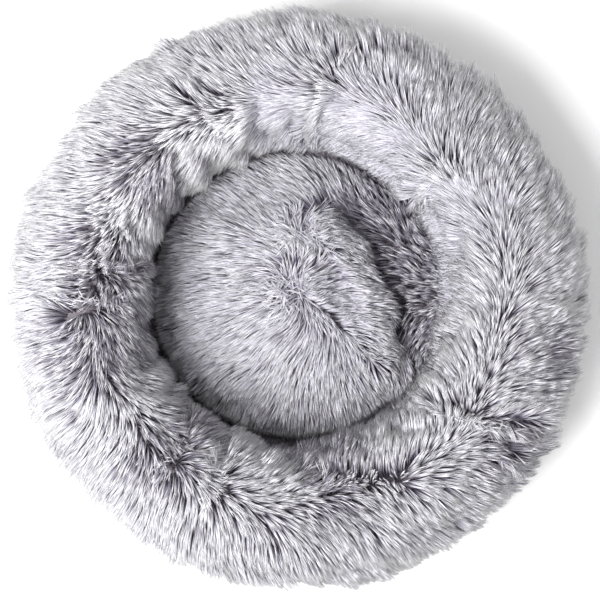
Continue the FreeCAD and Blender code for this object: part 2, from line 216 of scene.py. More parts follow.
def ripple(seed, octaves, *fields):
    """Smooth repeatable bumps between about -1 and 1, from sums of sines of the fields."""
    draw = np.random.default_rng(seed)
    total = np.zeros_like(fields[0])
    for _ in range(octaves):
        wave = draw.uniform(0, TAU)
        for field in fields:
            wave = wave + draw.integers(-3, 4) * field
        total = total + np.sin(wave)
    return total / math.sqrt(octaves)


def nearest_on_path(points, path):
    """For each point: distance to an open path, offset from it, side (1 is its left) and run."""
    best = np.full(len(points), 1e9)
    offset = np.zeros((len(points), 2))
    side = np.zeros(len(points))
    run = np.zeros(len(points))
    length = 0.0
    for a, b in zip(path[:-1], path[1:]):
        a, b = np.array(a) * MM, np.array(b) * MM
        along = b - a
        size = np.linalg.norm(along)
        t = np.clip((points - a) @ along / size**2, 0, 1)
        away = points - (a + t[:, None] * along)
        distance = np.linalg.norm(away, axis=1)
        closer = distance < best
        cross = along[0] * away[:, 1] - along[1] * away[:, 0]
        best = np.where(closer, distance, best)
        offset = np.where(closer[:, None], away, offset)
        side = np.where(closer, np.sign(cross), side)
        run = np.where(closer, length + t * size, run)
        length += size
    return best, offset, side, run / length


def link(piece, material, replaced):
    """Gives a new piece of the bed its material, hangs it on the bed's body and hides the CAD node that
    it stands for.
    """
    piece.data.materials.clear()
    piece.data.materials.append(material)
    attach(piece, "bed")
    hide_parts(replaced)
    return piece


def mesh_piece(name, points, faces, smooth=True):
    mesh = bpy.data.meshes.new(name)
    mesh.from_pydata([tuple(p) for p in points], [], faces)
    if smooth:
        mesh.shade_smooth()
    piece = bpy.data.objects.new(name, mesh)
    bpy.context.scene.collection.objects.link(piece)
    return piece


def grid_faces(rows, columns, closed_rows=False, closed_columns=False):
    """Quads of a grid of points that are stored row by row."""
    faces = []
    for i in range(rows if closed_rows else rows - 1):
        for j in range(columns if closed_columns else columns - 1):
            k, m = (i + 1) % rows, (j + 1) % columns
            faces.append((i * columns + j, i * columns + m, k * columns + m, k * columns + j))
    return faces


def coordinates(mesh):
    found = np.empty(len(mesh.vertices) * 3, np.float32)
    mesh.vertices.foreach_get("co", found)
    return found.reshape(-1, 3).astype(float)


def normals(mesh):
    found = np.empty(len(mesh.vertices) * 3, np.float32)
    mesh.vertices.foreach_get("normal", found)
    return found.reshape(-1, 3).astype(float)


def apply_modifier(piece, kind, **settings):
    modifier = piece.modifiers.new(kind, kind)
    for key, value in settings.items():
        setattr(modifier, key, value)
    bpy.context.view_layer.update()
    shaped = bpy.data.meshes.new_from_object(piece.evaluated_get(bpy.context.evaluated_depsgraph_get()))
    piece.modifiers.remove(modifier)
    old = piece.data
    shaped.name = old.name
    piece.data = shaped
    bpy.data.meshes.remove(old)


# --- materials ---
class Paint:
    """A node material with one Principled shader, and short ways to add nodes to it."""

    def __init__(self, name, **sockets):
        self.material = bpy.data.materials.new(name)
        self.material.use_nodes = True
        self.tree = self.material.node_tree
        self.shader = self.tree.nodes["Principled BSDF"]
        for key, value in sockets.items():
            self.shader.inputs[key.replace("_", " ")].default_value = value

    def node(self, kind, inputs=(), **settings):
        made = self.tree.nodes.new(kind)
        for key, value in settings.items():
            setattr(made, key, value)
        for key, value in dict(inputs).items():
            if isinstance(value, bpy.types.NodeSocket):
                self.tree.links.new(value, made.inputs[key])
            else:
                made.inputs[key].default_value = value
        return made

    def math(self, operation, a, b=0.0):
        return self.node("ShaderNodeMath", {0: a, 1: b}, operation=operation).outputs[0]

    def ramp(self, factor, stops):
        made = self.node("ShaderNodeValToRGB", {0: factor})
        elements = made.color_ramp.elements
        while len(elements) < len(stops):
            elements.new(0.5)
        for element, (place, colour) in zip(elements, stops):
            element.position = place
            element.color = (*colour, 1.0)
        return made.outputs[0]

    def shades(self, factor, dark, pale, low=0.3, high=0.7):
        """Colours the surface from dark to pale between two levels of a pattern."""
        self.colour(self.ramp(factor, [(low, dark), (high, pale)]))

    def place(self):
        return self.node("ShaderNodeTexCoord").outputs["Object"]

    def noise(self, scale, detail=2.0, stretch=None):
        where = self.place()
        if stretch:
            where = self.node("ShaderNodeMapping", {0: where, 3: stretch}).outputs[0]
        inputs = {"Vector": where, "Scale": scale, "Detail": detail}
        return self.node("ShaderNodeTexNoise", inputs).outputs[0]

    def bands(self, pitch, direction):
        """Straight bands; the wave node has 20 radians to a metre at a scale of 1."""
        inputs = {"Vector": self.place(), "Scale": TAU / pitch / 20}
        return self.node("ShaderNodeTexWave", inputs, bands_direction=direction).outputs[1]

    def mix(self, factor, a, b, **settings):
        inputs = {"Factor": factor, "A": a, "B": b}
        return self.node("ShaderNodeMix", inputs, data_type="RGBA", **settings).outputs[2]

    def colour(self, output):
        self.tree.links.new(output, self.shader.inputs["Base Color"])

    def roughness(self, output, low, high):
        made = self.node("ShaderNodeMapRange", {0: output, 3: low, 4: high})
        self.tree.links.new(made.outputs[0], self.shader.inputs["Roughness"])

    def bump(self, height, distance):
        made = self.node("ShaderNodeBump", {"Height": height, "Distance": distance})
        self.tree.links.new(made.outputs[0], self.shader.inputs["Normal"])


def weave(paint, pitch):
    """Over-and-under pattern of a plain weave, 0 to 1."""
    return paint.math("MAXIMUM", paint.bands(pitch, "X"), paint.bands(pitch, "Y"))


def make_strand_paint():
    """Strand colours: u is the shade's column, v runs from root to tip within the shade's row."""
    paint = Paint("plush_pile", Roughness=0.55, Specular_IOR_Level=0.35)
    paint.shader.inputs["Sheen Weight"].default_value = 0.25
    paint.shader.inputs["Sheen Roughness"].default_value = 0.4
    uv = paint.node("ShaderNodeUVMap", uv_map="OFBake").outputs[0]
    apart = paint.node("ShaderNodeSeparateXYZ", {0: uv})
    column = paint.math("FLOOR", paint.math("MULTIPLY", apart.outputs[0], SHADE_COLUMNS))
    scaled = paint.math("MULTIPLY", apart.outputs[1], SHADE_ROWS)
    row = paint.math("FLOOR", scaled)
    along = paint.math("FRACT", scaled)
    dark_rooted = paint.ramp(along, [
        (0.0, (0.045, 0.03, 0.07)),
        (0.25, (0.175, 0.15, 0.225)),
        (0.55, (0.60, 0.585, 0.645)),
        (0.85, (0.90, 0.895, 0.925)),
    ])
    # Row 1: pale roots and tips, painted light.
    smooth = paint.ramp(along, [
        (0.0, (0.30, 0.28, 0.35)),
        (0.3, (0.56, 0.54, 0.62)),
        (0.8, (0.80, 0.785, 0.855)),
    ])
    # Row 2: dark all along, painted shade for pile that lies in shadow.
    painted_shade = paint.ramp(along, [
        (0.0, (0.03, 0.02, 0.05)),
        (0.3, (0.085, 0.07, 0.11)),
        (0.9, (0.43, 0.405, 0.48)),
    ])
    base = paint.mix(row, dark_rooted, smooth)
    base = paint.mix(paint.math("GREATER_THAN", row, 1.5), base, painted_shade)
    seed = paint.node("ShaderNodeCombineXYZ", {0: column, 1: row}).outputs[0]
    shade = paint.node("ShaderNodeTexWhiteNoise", {"Vector": seed}).outputs["Value"]
    shade = paint.node("ShaderNodeMapRange", {0: shade, 3: 0.62, 4: 1.08}).outputs[0]
    fibres = paint.node("ShaderNodeMapping", {0: uv, 3: (420.0, 6.0, 1.0)}).outputs[0]
    fibres = paint.node("ShaderNodeTexNoise", {"Vector": fibres, "Scale": 1.0}).outputs[0]
    fibres = paint.node("ShaderNodeMapRange", {0: fibres, 3: 0.86, 4: 1.14}).outputs[0]
    amount = paint.math("MULTIPLY", shade, fibres)
    paint.colour(paint.mix(1.0, base, amount, blend_type="MULTIPLY"))
    return paint.material


def make_backing_paint():
    """The plush's knitted backing with the pile's dark roots on it."""
    paint = Paint("plush_backing", Roughness=0.9)
    knots = paint.noise(900.0, 3.0)
    patches = paint.noise(60.0)
    mixed = paint.math("ADD", paint.math("MULTIPLY", knots, 0.6), paint.math("MULTIPLY", patches, 0.4))
    paint.shades(mixed, (0.10, 0.085, 0.11), (0.27, 0.24, 0.265))
    paint.bump(knots, 0.4 * MM)
    return paint.material


def make_plain_paint(name, pattern, dark, pale, bumps=None, wear=None, low=0.3, **sockets):
    """Material whose colour, roughness and bumps, in mm, all follow one noise pattern."""
    paint = Paint(name, **sockets)
    noise = paint.noise(*pattern)
    paint.shades(noise, dark, pale, low)
    if wear:
        paint.roughness(noise, *wear)
    if bumps:
        paint.bump(noise, bumps * MM)
    return paint.material


def make_base_paint():
    paint = Paint("base_cloth", Roughness=0.75)
    threads = weave(paint, 0.9 * MM)
    worn = paint.noise(28.0, 4.0)
    pattern = paint.math("MULTIPLY", threads, worn)
    paint.shades(pattern, (0.13, 0.13, 0.14), (0.22, 0.22, 0.235), 0.15, 0.55)
    paint.roughness(worn, 0.6, 0.85)
    paint.bump(threads, 0.12 * MM)
    return paint.material


def make_tape_paint():
    paint = Paint("zip_tape_cloth", Roughness=0.75)
    threads = weave(paint, 0.5 * MM)
    paint.shades(threads, (0.15, 0.15, 0.16), (0.26, 0.26, 0.275), 0.2, 0.8)
    paint.bump(threads, 0.08 * MM)
    return paint.material


def make_label_paint():
    paint = Paint("label_satin", Roughness=0.45)
    threads = paint.bands(0.4 * MM, "Y")
    paint.shades(threads, (0.74, 0.74, 0.72), (0.86, 0.86, 0.84), 0.2, 0.8)
    paint.bump(threads, 0.04 * MM)
    return paint.material


# --- stuffed shapes ---
def ring_point(inset, turn):
    """Radius and height on the ring's section. Turn is 0 at the outer girth, pi/2 at the crest."""
    across, up = np.cos(turn), np.sin(turn)
    outer = TIP_RADIUS - CREST_RADIUS - inset
    inner = CREST_RADIUS - WELL_RADIUS - inset
    high = TIP_HEIGHT - GIRTH_HEIGHT - inset
    low = LOWER_DROP - inset
    radius = CREST_RADIUS + across * np.where(across > 0, outer, inner)
    height = GIRTH_HEIGHT + up * np.where(up > 0, high, low)
    return radius, height


def shifted_with_well(points):
    """Moves the ring's inner half, and all within it, to where the well really is."""
    radius = np.hypot(points[:, 0], points[:, 1])
    share = 1 - smoothstep(WELL_RADIUS + 20 * MM, TIP_RADIUS - 40 * MM, radius)
    share = share * smoothstep(*SHIFT_LEVELS, points[:, 2])
    return points + share[:, None] * np.array(WELL_SHIFT)


def zip_distance(x, y):
    return np.hypot(np.maximum(np.abs(x) - GROOVE_HALF_LENGTH, 0), y)


def underside(x, y, gap):
    """Level of the stuffing's underside: just over the base cloth, and arched over the zip."""
    arch = 1 - smoothstep(GROOVE_REACH + 2 * MM, GROOVE_REACH + 12 * MM, zip_distance(x, y))
    flat = BASE_BOTTOM + BASE_THICKNESS
    return flat + gap + (ZIP_ROOM - flat) * arch


def ring_body(name, inset, gap, lumps, steps=360, section=64):
    """Closed stuffed ring, set in from the tips, with lumps and with dents at the partings."""
    low_turn = -math.asin((GIRTH_HEIGHT - BASE_BOTTOM - gap) / (LOWER_DROP - inset))
    seam_turn = -math.asin((GIRTH_HEIGHT - SEAM_HEIGHT) / (LOWER_DROP - inset))
    turn = np.linspace(low_turn, math.pi - low_turn, section)
    theta = np.linspace(0, TAU, steps, endpoint=False)
    turn, theta = np.meshgrid(turn, theta)
    turn, theta = turn.ravel(), theta.ravel()
    radius, height = ring_point(inset, turn)
    far_radius, far_height = ring_point(inset - MM, turn)
    out = unit(np.stack([far_radius - radius, far_height - height], 1))
    swell = lumps * ripple(3, 7, 2 * theta, turn) + 0.6 * lumps * ripple(5, 7, 5 * theta, 2 * turn)
    swell = swell * smoothstep(seam_turn, seam_turn + 0.6, turn)
    swell = swell * smoothstep(seam_turn, seam_turn + 0.6, math.pi - turn)
    swell = swell * (1 - 0.7 * smoothstep(0.2, 1.0, np.cos(turn)))
    plan = np.stack([radius * np.cos(theta), radius * np.sin(theta)], 1)
    for start, end, strength in PARTINGS:
        distance = nearest_on_path(plan, [start, end])[0]
        top_side = smoothstep(0.0, 0.5, np.sin(turn))
        swell = swell - 1.3 * lumps * strength * top_side * near(distance, 10 * MM)
    radius = (radius + swell * out[:, 0]).reshape(steps, section)
    height = (height + swell * out[:, 1]).reshape(steps, section)
    across = 14  # rows of points across the underside
    under = np.linspace(radius[:, -1], radius[:, 0], across + 2)[1:-1].T
    radius = np.concatenate([radius, under], 1)
    height = np.concatenate([height, np.zeros_like(under)], 1).ravel()
    theta = np.repeat(theta[::section], section + across)
    x, y = radius.ravel() * np.cos(theta), radius.ravel() * np.sin(theta)
    points = np.stack([x, y, np.maximum(height, underside(x, y, gap))], 1)
    return mesh_piece(name, shifted_with_well(points), grid_faces(steps, section + across, True, True))


def floor_height(x, y):
    """Height of the floor's backing: a dome with a bank on the right, and a dent at its parting."""
    radius = np.hypot(x, y)
    at = np.stack([x, y], 1) + SHIFT_IN_PLAN
    height = FLOOR_CROWN - (FLOOR_CROWN - SEAM_HEIGHT) * np.minimum(radius / FLOOR_RADIUS, 1) ** 2
    distance, _, side, run = nearest_on_path(at, BANK)
    beyond = distance * side
    ends = smoothstep(0.0, 0.3, run) * smoothstep(0.0, 0.15, 1 - run)
    height = height - BANK_DROP * smoothstep(-3 * MM, 18 * MM, beyond) * ends
    height = height + BANK_CREST * near(beyond + 14 * MM, 15 * MM) * ends
    for parting in FLOOR_PARTINGS:
        distance = nearest_on_path(at, parting)[0]
        height = height - FLOOR_PARTING_DEPTH * near(distance, 6 * MM)
    inner = smoothstep(0.0, 30 * MM, FLOOR_RADIUS - radius)
    return np.maximum(height + 2.0 * MM * ripple(11, 6, x * 30, y * 30) * inner, LOWEST_FLOOR)


def floor_body(name, sunk, reach, gap, rings=60, steps=200):
    """Closed cushion under the well's floor, whose top is the floor's height less sunk."""
    radius = np.linspace(0, 1, rings + 1)[1:] * reach
    radius, theta = np.meshgrid(radius, np.linspace(0, TAU, steps, endpoint=False), indexing="ij")
    x = np.append((radius * np.cos(theta)).ravel(), 0.0)
    y = np.append((radius * np.sin(theta)).ravel(), 0.0)
    top = np.stack([x, y, floor_height(x, y) - sunk], 1)
    bottom = np.stack([x, y, underside(x, y, gap)], 1)
    count = len(x)
    faces = [tuple(reversed(f)) for f in grid_faces(rings, steps, False, True)]
    faces += [tuple(i + count for i in reversed(f)) for f in faces]
    rim = count - 1 - steps
    for j in range(steps):
        k = (j + 1) % steps
        faces.append((count - 1, j, k))
        faces.append((2 * count - 1, count + k, count + j))
        faces.append((rim + j, count + rim + j, count + rim + k, rim + k))
    return mesh_piece(name, shifted_with_well(np.concatenate([top, bottom])), faces)


def puffed(piece, voxel, pressure, cap):
    """Remeshes a stuffed shape and lets Cloth blow it up, by no more than cap."""
    apply_modifier(piece, "REMESH", mode="VOXEL", voxel_size=voxel, use_smooth_shade=True)
    rest, out = coordinates(piece.data), normals(piece.data)
    cloth = piece.modifiers.new("Cloth", "CLOTH")
    cloth.settings.quality = 5
    cloth.settings.use_pressure = True
    cloth.settings.uniform_pressure_force = pressure
    cloth.settings.effector_weights.gravity = 0
    cloth.settings.tension_stiffness = 25
    cloth.settings.bending_stiffness = 2
    for step in range(1, 21):
        bpy.context.scene.frame_set(step)
    shaped = piece.evaluated_get(bpy.context.evaluated_depsgraph_get())
    moved = coordinates(shaped.data) - rest
    piece.modifiers.remove(cloth)
    bpy.context.scene.frame_set(1)
    outward = np.clip((moved * out).sum(1), -0.4 * MM, cap)
    outward = outward * smoothstep(SEWN_BELOW, SEWN_BELOW + 25 * MM, rest[:, 2])
    piece.data.vertices.foreach_set("co", (rest + outward[:, None] * out).astype(np.float32).ravel())
    piece.data.update()
    apply_modifier(piece, "SUBSURF", levels=1, render_levels=1)


# --- pile ---
def scattered(mesh, count, density):
    """Places and normals of points spread over a mesh by area times density(places, normals)."""
    mesh.calc_loop_triangles()
    corners = np.empty(len(mesh.loop_triangles) * 3, np.int32)
    mesh.loop_triangles.foreach_get("vertices", corners)
    corners = corners.reshape(-1, 3)
    at, out = coordinates(mesh), normals(mesh)
    a, b, c = (at[corners[:, k]] for k in range(3))
    middle, facing = (a + b + c) / 3, unit(np.cross(b - a, c - a))
    weight = np.linalg.norm(np.cross(b - a, c - a), axis=1) * density(middle, facing)
    chosen = rng.choice(len(corners), count, p=weight / weight.sum())
    u, v = rng.random((2, count))
    flip = u + v > 1
    u, v = np.where(flip, 1 - u, u)[:, None], np.where(flip, 1 - v, v)[:, None]
    corners = corners[chosen]
    a, b, c = (at[corners[:, k]] for k in range(3))
    na, nb, nc = (out[corners[:, k]] for k in range(3))
    return a + u * (b - a) + v * (c - a), unit(na + u * (nb - na) + v * (nc - na))


def patch_share(at, patches):
    """How far each place is within the patches, 0 to 1."""
    share = np.zeros(len(at))
    for middle, reach in patches:
        distance = np.hypot(at[:, 0] - middle[0] * MM, at[:, 1] - middle[1] * MM)
        share = np.maximum(share, 1 - smoothstep(0.45 * reach * MM, 1.25 * reach * MM, distance))
    return share


def bolster_density(at, out):
    plan = at[:, :2]
    density = smoothstep(5 * MM, 9 * MM, at[:, 2]) * (out[:, 2] > -0.8)
    radius = np.hypot(*plan.T)
    below_wall = (radius < CREST_RADIUS) & (at[:, 2] < WALL_FOOT)
    over_base = (radius < BASE_RADIUS - 2 * MM) & (at[:, 2] < BARE_BELOW)
    density = np.where(below_wall | over_base, 0, density)
    density = density * (1 + 0.7 * near(radius - PILE_CREST_RADIUS, 18 * MM))
    for start, end, strength in PARTINGS:
        distance = nearest_on_path(plan, [start, end])[0]
        density = density * (1 - 0.25 * strength * near(distance, 2.5 * MM))
    return density


def bolster_comb(at, out):
    """How the bolster's pile lies at each lock: direction, lean, length, clumping and shade row."""
    theta = np.degrees(np.arctan2(at[:, 1], at[:, 0]))
    radial = unit(np.stack([at[:, 0], at[:, 1], np.zeros(len(at))], 1))
    round_way = np.stack([-radial[:, 1], radial[:, 0], np.zeros(len(at))], 1)
    facing = dot(out, radial)
    away = unit(out[:, 2:3] * radial - facing * UP)
    angle = np.radians(theta)
    crest = PILE_CREST_RADIUS + 6 * MM * ripple(17, 5, 3 * angle)
    gap = np.hypot(at[:, 0], at[:, 1]) - crest
    on_wall = 1 - smoothstep(-45 * MM, -15 * MM, gap)
    ruffle = ripple(29, 8, 9 * angle, gap * 90) + ripple(31, 8, 17 * angle, gap * 160)
    ruffle = ruffle * (1 - 0.8 * on_wall)
    outer = round_table(OUTER_SWIRL, theta)
    inner = 180 - round_table(INNER_SWIRL, theta)
    over = smoothstep(-CREST_SWEEP, CREST_SWEEP, gap)
    waves = (10 - 9 * on_wall) * ripple(19, 6, 6 * angle, gap * 40)
    swirl = np.radians(inner + (outer - inner) * over + waves)[:, None]
    comb = np.cos(swirl) * away + np.sin(swirl) * round_way
    near_crest = near(gap, 16 * MM)
    smooth = patch_share(at, SMOOTH_PATCHES_WITH_PAINTED_LIGHT)
    # These patches are rumpled, and their strands also take the dark row: painted shade.
    painted_shade = patch_share(at, RUMPLED_PATCHES_WITH_PAINTED_SHADE) * (1 - smooth)
    lean = np.radians(BOLSTER_LEAN + CREST_LIFT * near_crest + 5 * ruffle)
    lean = lean * (1 - smooth) + np.radians(SMOOTH_LEAN) * smooth
    plan = at[:, :2]
    for start, end, strength in PARTINGS:
        distance, offset, _, _ = nearest_on_path(plan, [start, end])
        share = strength * near(distance, 11 * MM)
        push = np.concatenate([unit(offset), np.zeros((len(at), 1))], 1)
        comb = comb * (1 - 0.7 * share[:, None]) + share[:, None] * push
        lean = lean + np.radians(PARTING_LIFT) * strength * near(distance, 6 * MM)
    comb = comb + (0.10 + 0.16 * painted_shade * (1 - smooth))[:, None] * rng.normal(size=comb.shape)
    low = 1 - smoothstep(15 * MM, 60 * MM, at[:, 2])[:, None]
    comb = comb * (1 - low) + low * (0.8 * round_way + 0.3 * away)
    comb = unit(comb - dot(comb, out) * out)
    length = STRAND_LENGTH * (1 + 0.10 * ruffle * (1 - smooth)) * rng.uniform(0.85, 1.1, len(at))
    clump = 0.8 * (1 - smooth) + 0.15 * smooth
    # Painted light: the pale row in the smooth patches. Painted shade: the dark row in the rumpled
    # patches and low on the wall.
    row = (rng.random(len(at)) < smooth).astype(int)
    row = np.where(rng.random(len(at)) < (0.55 + 0.35 * on_wall) * painted_shade, 2, row)
    foot = (gap < 0) & (at[:, 2] < WALL_HANG)
    row = np.where(foot & ((smooth < 0.3) | (at[:, 2] < WALL_SEEN)), 2, row)
    length = np.where(foot, 0.85 * length, length)
    low_wall = (gap < 0) * (1 - smoothstep(WALL_HANG - 10 * MM, WALL_HANG + 30 * MM, at[:, 2]))
    lean = lean + np.radians(WALL_LIFT + SMOOTH_WALL_LIFT * smooth) * low_wall
    pull = round_table(TUFTING, theta) / 100 + 0.1 * ripple(61, 6, 4 * angle, gap * 30) + 0.25 * painted_shade
    pull = np.clip(pull, 0.0, 0.7) * (1 - smooth) * (1 - 0.85 * on_wall)
    return comb, np.clip(lean, 0.12, 1.25), length, clump, row, pull


def floor_density(at, out):
    density = (out[:, 2] > 0.15).astype(float)
    for parting in FLOOR_PARTINGS:
        distance = nearest_on_path(at[:, :2], parting)[0]
        density = density * (1 + 0.5 * near(distance, 6 * MM))
    density = density * (1 + 0.8 * patch_share(at, FLOOR_WHORLS))
    return density


def brushed(plan):
    """Direction of the floor's pile at each point, between those of the strokes near it."""
    total = np.zeros((len(plan), 2))
    for x, y, degrees in FLOOR_STROKES:
        away = np.hypot(plan[:, 0] - x * MM, plan[:, 1] - y * MM)
        weight = 1 / (away**2 + STROKE_REACH**2) ** 2
        angle = math.radians(degrees)
        total = total + weight[:, None] * np.array([math.cos(angle), math.sin(angle)])
    return unit(total)


def gathered_noise(at, share):
    """True in blotches a few locks wide that take up about this share of the places."""
    return ripple(67, 9, at[:, 0] * 230, at[:, 1] * 230) > 2 * (0.5 - share)


def floor_comb(at, out):
    """How the floor's pile lies: brushed, away from its partings, with painted shade where it lies low
    and by its rim, and painted light on much of the rest.
    """
    plan = at[:, :2]
    flat = np.zeros((len(at), 1))
    comb = brushed(plan)
    parted = np.zeros(len(at))
    for parting in FLOOR_PARTINGS:
        distance, offset, _, _ = nearest_on_path(plan, parting)
        share = near(distance, 9 * MM)[:, None]
        comb = comb * (1 - 0.4 * share) + 0.5 * share * unit(offset)
        parted = np.maximum(parted, near(distance, 6 * MM))
    turned = 0.2 * ripple(71, 7, plan[:, 0] * 28, plan[:, 1] * 28)
    comb = np.stack([comb[:, 0] - turned * comb[:, 1], comb[:, 1] + turned * comb[:, 0]], 1)
    comb = np.concatenate([comb, flat], 1)
    distance, _, side, run = nearest_on_path(plan, BANK)
    beyond = distance * side
    ends = smoothstep(0.05, 0.3, run) * smoothstep(0.0, 0.12, 1 - run)
    radius = np.hypot(*(plan - SHIFT_IN_PLAN).T)
    rim = smoothstep(FLOOR_RADIUS - 15 * MM, FLOOR_RADIUS - 2 * MM, radius)
    on_bank = near(beyond + 10 * MM, 11 * MM) * ends
    low = smoothstep(2 * MM, 14 * MM, beyond) * ends
    ruffle = ripple(37, 8, plan[:, 0] * 60, plan[:, 1] * 60)
    ruffle = ruffle + ripple(41, 8, plan[:, 0] * 150, plan[:, 1] * 150)
    whorl = patch_share(at, FLOOR_WHORLS)
    spread = 0.12 + 0.1 * on_bank + 0.15 * low + 1.1 * whorl
    comb = comb + spread[:, None] * rng.normal(size=comb.shape)
    comb = unit(comb - dot(comb, out) * out)
    wall_tufts = smoothstep(114 * MM, 124 * MM, radius) * low
    lift = BANK_LIFT * on_bank - 6 * rim + FLOOR_PARTING_LIFT * parted**2 + TUFT_LIFT * wall_tufts
    lean = np.radians(FLOOR_LEAN + lift + 3 * ruffle)
    lean = np.clip(lean * (1 - whorl) + np.radians(FLOOR_LEAN) * whorl, 0.1, 1.5)
    length = STRAND_LENGTH * (0.95 - 0.1 * on_bank - 0.3 * rim + 0.05 * ruffle)
    length = length * rng.uniform(0.85, 1.1, len(at))
    far = np.hypot(*(plan - SHIFT_IN_PLAN + (length * np.cos(lean))[:, None] * comb[:, :2]).T)
    room = np.clip((FLOOR_RADIUS - radius) / np.maximum(far - radius, MM), 0.35, 1)
    length = np.where((far > FLOOR_RADIUS) & (wall_tufts < 0.5), room * length, length)
    clump = np.full(len(at), 0.7)
    # Painted light: the pale row on about half the floor, on most of its left side, round the spot and
    # at the partings.
    pale = 0.5 + 0.5 * (1 - smoothstep(-110 * MM, -50 * MM, plan[:, 0]))
    away = np.hypot(plan[:, 0] - FLOOR_PAINTED_LIGHT_SPOT[0] * MM, plan[:, 1] - FLOOR_PAINTED_LIGHT_SPOT[1] * MM)
    pale = np.maximum(pale, 1 - smoothstep(10 * MM, 45 * MM, away))
    row = np.where(rng.random(len(at)) < np.maximum(pale * (1 - on_bank), parted), 1, 0)
    tufts = gathered_noise(at, 0.42)
    # Painted shade: the dark row where the floor lies low and by its rim, less in the tufts at the
    # wall's right foot.
    painted_shade = np.maximum(0.95 * low, rim) * (1 - 0.9 * wall_tufts * tufts)
    row = np.where(rng.random(len(at)) < painted_shade, 2, row)
    pull = 0.2 + 0.45 * on_bank + 0.4 * low
    return comb, lean, length, clump, row, pull


def gathered(at, tips, pull):
    """Draws the tips of neighbouring locks together, into bigger locks."""
    count = len(at) // LOCKS_PER_TUFT
    tree = kdtree.KDTree(count)
    for i in range(count):
        tree.insert(at[i], i)
    tree.balance()
    nearest = np.array([tree.find(place)[1] for place in at])
    reach = tips - at
    locks = np.maximum(np.bincount(nearest, minlength=count), 1)[:, None]
    mean = np.stack([np.bincount(nearest, reach[:, k], count) for k in range(3)], 1) / locks
    return tips + pull[:, None] * (at[nearest] + mean[nearest] - tips)


def grown(at, out, comb, lean, length, clump, row, pull):
    """Three control points, a width and a shade for every strand of every lock."""
    count = len(at) * STRANDS_PER_LOCK
    way = np.cos(lean)[:, None] * comb + np.sin(lean)[:, None] * out
    lock_tip = gathered(at, at + length[:, None] * way, pull)

    def spread(values):
        return np.repeat(values, STRANDS_PER_LOCK, axis=0)

    at, out, comb, lock_tip = spread(at), spread(out), spread(comb), spread(lock_tip)
    lean, length, clump = spread(lean)[:, None], spread(length)[:, None], spread(clump)[:, None]
    across = np.cross(out, comb)
    reach = LOCK_SPREAD * np.sqrt(rng.random((count, 1)))
    turn = TAU * rng.random((count, 1))
    offset = reach * (np.cos(turn) * comb + np.sin(turn) * across)
    root = at + offset - 0.8 * MM * out
    lift = np.minimum(lean * 1.7, 1.45)
    middle = root + 0.5 * length * (np.cos(lift) * comb + np.sin(lift) * out)
    middle = middle + 0.7 * MM * rng.normal(size=(count, 3))
    own_tip = root + (lock_tip - at) * rng.uniform(0.82, 1.06, (count, 1))
    tip = own_tip + clump * (lock_tip - own_tip) + 0.7 * MM * rng.normal(size=(count, 3))
    for bend, least in ((middle, 2 * MM), (tip, 1.5 * MM)):
        bend[:, 2] = np.clip(bend[:, 2], least, TIP_HEIGHT + 6 * MM)
    width = STRAND_RADIUS * rng.uniform(0.75, 1.2, count)
    column = spread(rng.integers(0, SHADE_COLUMNS, len(row)))
    return root, middle, tip, width, column, spread(row)


def strand_mesh(name, root, middle, tip, width, column, row):
    """All the strands of one piece as closed three-sided spikes, with their shade map."""
    count, sides = len(root), 3
    steps = np.array(STRAND_RINGS)
    per_strand = sides * len(steps) + 1
    t = steps[None, :, None]
    a, b, c = root[:, None], middle[:, None], tip[:, None]
    centre = (1 - t) ** 2 * a + 2 * t * (1 - t) * b + t**2 * c
    heading = unit(2 * (1 - t) * (b - a) + 2 * t * (c - b))
    start = rng.normal(size=(count, 1, 3))
    right = unit(np.cross(heading, start))
    up = np.cross(heading, right)
    thick = width[:, None, None] * np.array(STRAND_TAPER)[None, :, None]
    points = np.empty((count, per_strand, 3), np.float32)
    for k in range(sides):
        turn = TAU * k / sides
        points[:, k:-1:sides] = centre + thick * (math.cos(turn) * right + math.sin(turn) * up)
    points[:, -1] = tip
    pattern, starts = [], []
    for i in range(len(steps)):
        for k in range(sides):
            m = (k + 1) % sides
            low = [i * sides + k, i * sides + m]
            last = i == len(steps) - 1
            high = [per_strand - 1] if last else [(i + 1) * sides + m, (i + 1) * sides + k]
            starts.append(len(pattern))
            pattern += low + high
    ring_u = np.array([k / (sides - 1) for k in range(sides)] * len(steps) + [0.5])
    ring_v = np.array([s for s in STRAND_RINGS for _ in range(sides)] + [1.0])
    pattern, starts = np.array(pattern), np.array(starts)
    corners = (pattern[None] + per_strand * np.arange(count)[:, None]).ravel()
    first = (starts[None] + len(pattern) * np.arange(count)[:, None]).ravel()
    mesh = bpy.data.meshes.new(name)
    mesh.vertices.add(count * per_strand)
    mesh.vertices.foreach_set("co", points.ravel())
    mesh.loops.add(len(corners))
    mesh.loops.foreach_set("vertex_index", corners.astype(np.int32))
    mesh.polygons.add(len(first))
    mesh.polygons.foreach_set("loop_start", first.astype(np.int32))
    mesh.update(calc_edges=True)
    mesh.shade_smooth()
    u = (column[:, None] + 0.1 + 0.8 * ring_u[pattern][None]) / SHADE_COLUMNS
    v = (row[:, None] + 0.02 + 0.96 * ring_v[pattern][None]) / SHADE_ROWS
    layer = mesh.uv_layers.new(name="OFBake")
    layer.uv.foreach_set("vector", np.stack([u, v], 2).astype(np.float32).ravel())
    piece = bpy.data.objects.new(name, mesh)
    bpy.context.scene.collection.objects.link(piece)
    return piece


def plant(skin, name, locks, density, comb, sectors):
    """Grows the pile on a skin, as one piece for each sector round the bed."""
    at, out = scattered(skin.data, locks, density)
    strands = grown(at, out, *comb(at, out))
    angle = np.mod(np.repeat(np.arctan2(at[:, 1], at[:, 0]), STRANDS_PER_LOCK), TAU)
    sector = np.minimum((angle / TAU * sectors).astype(int), sectors - 1)
    pieces = []
    for i in range(sectors):
        mine = sector == i
        pieces.append(strand_mesh(f"{name}_{i + 1:02d}", *(values[mine] for values in strands)))
    return pieces


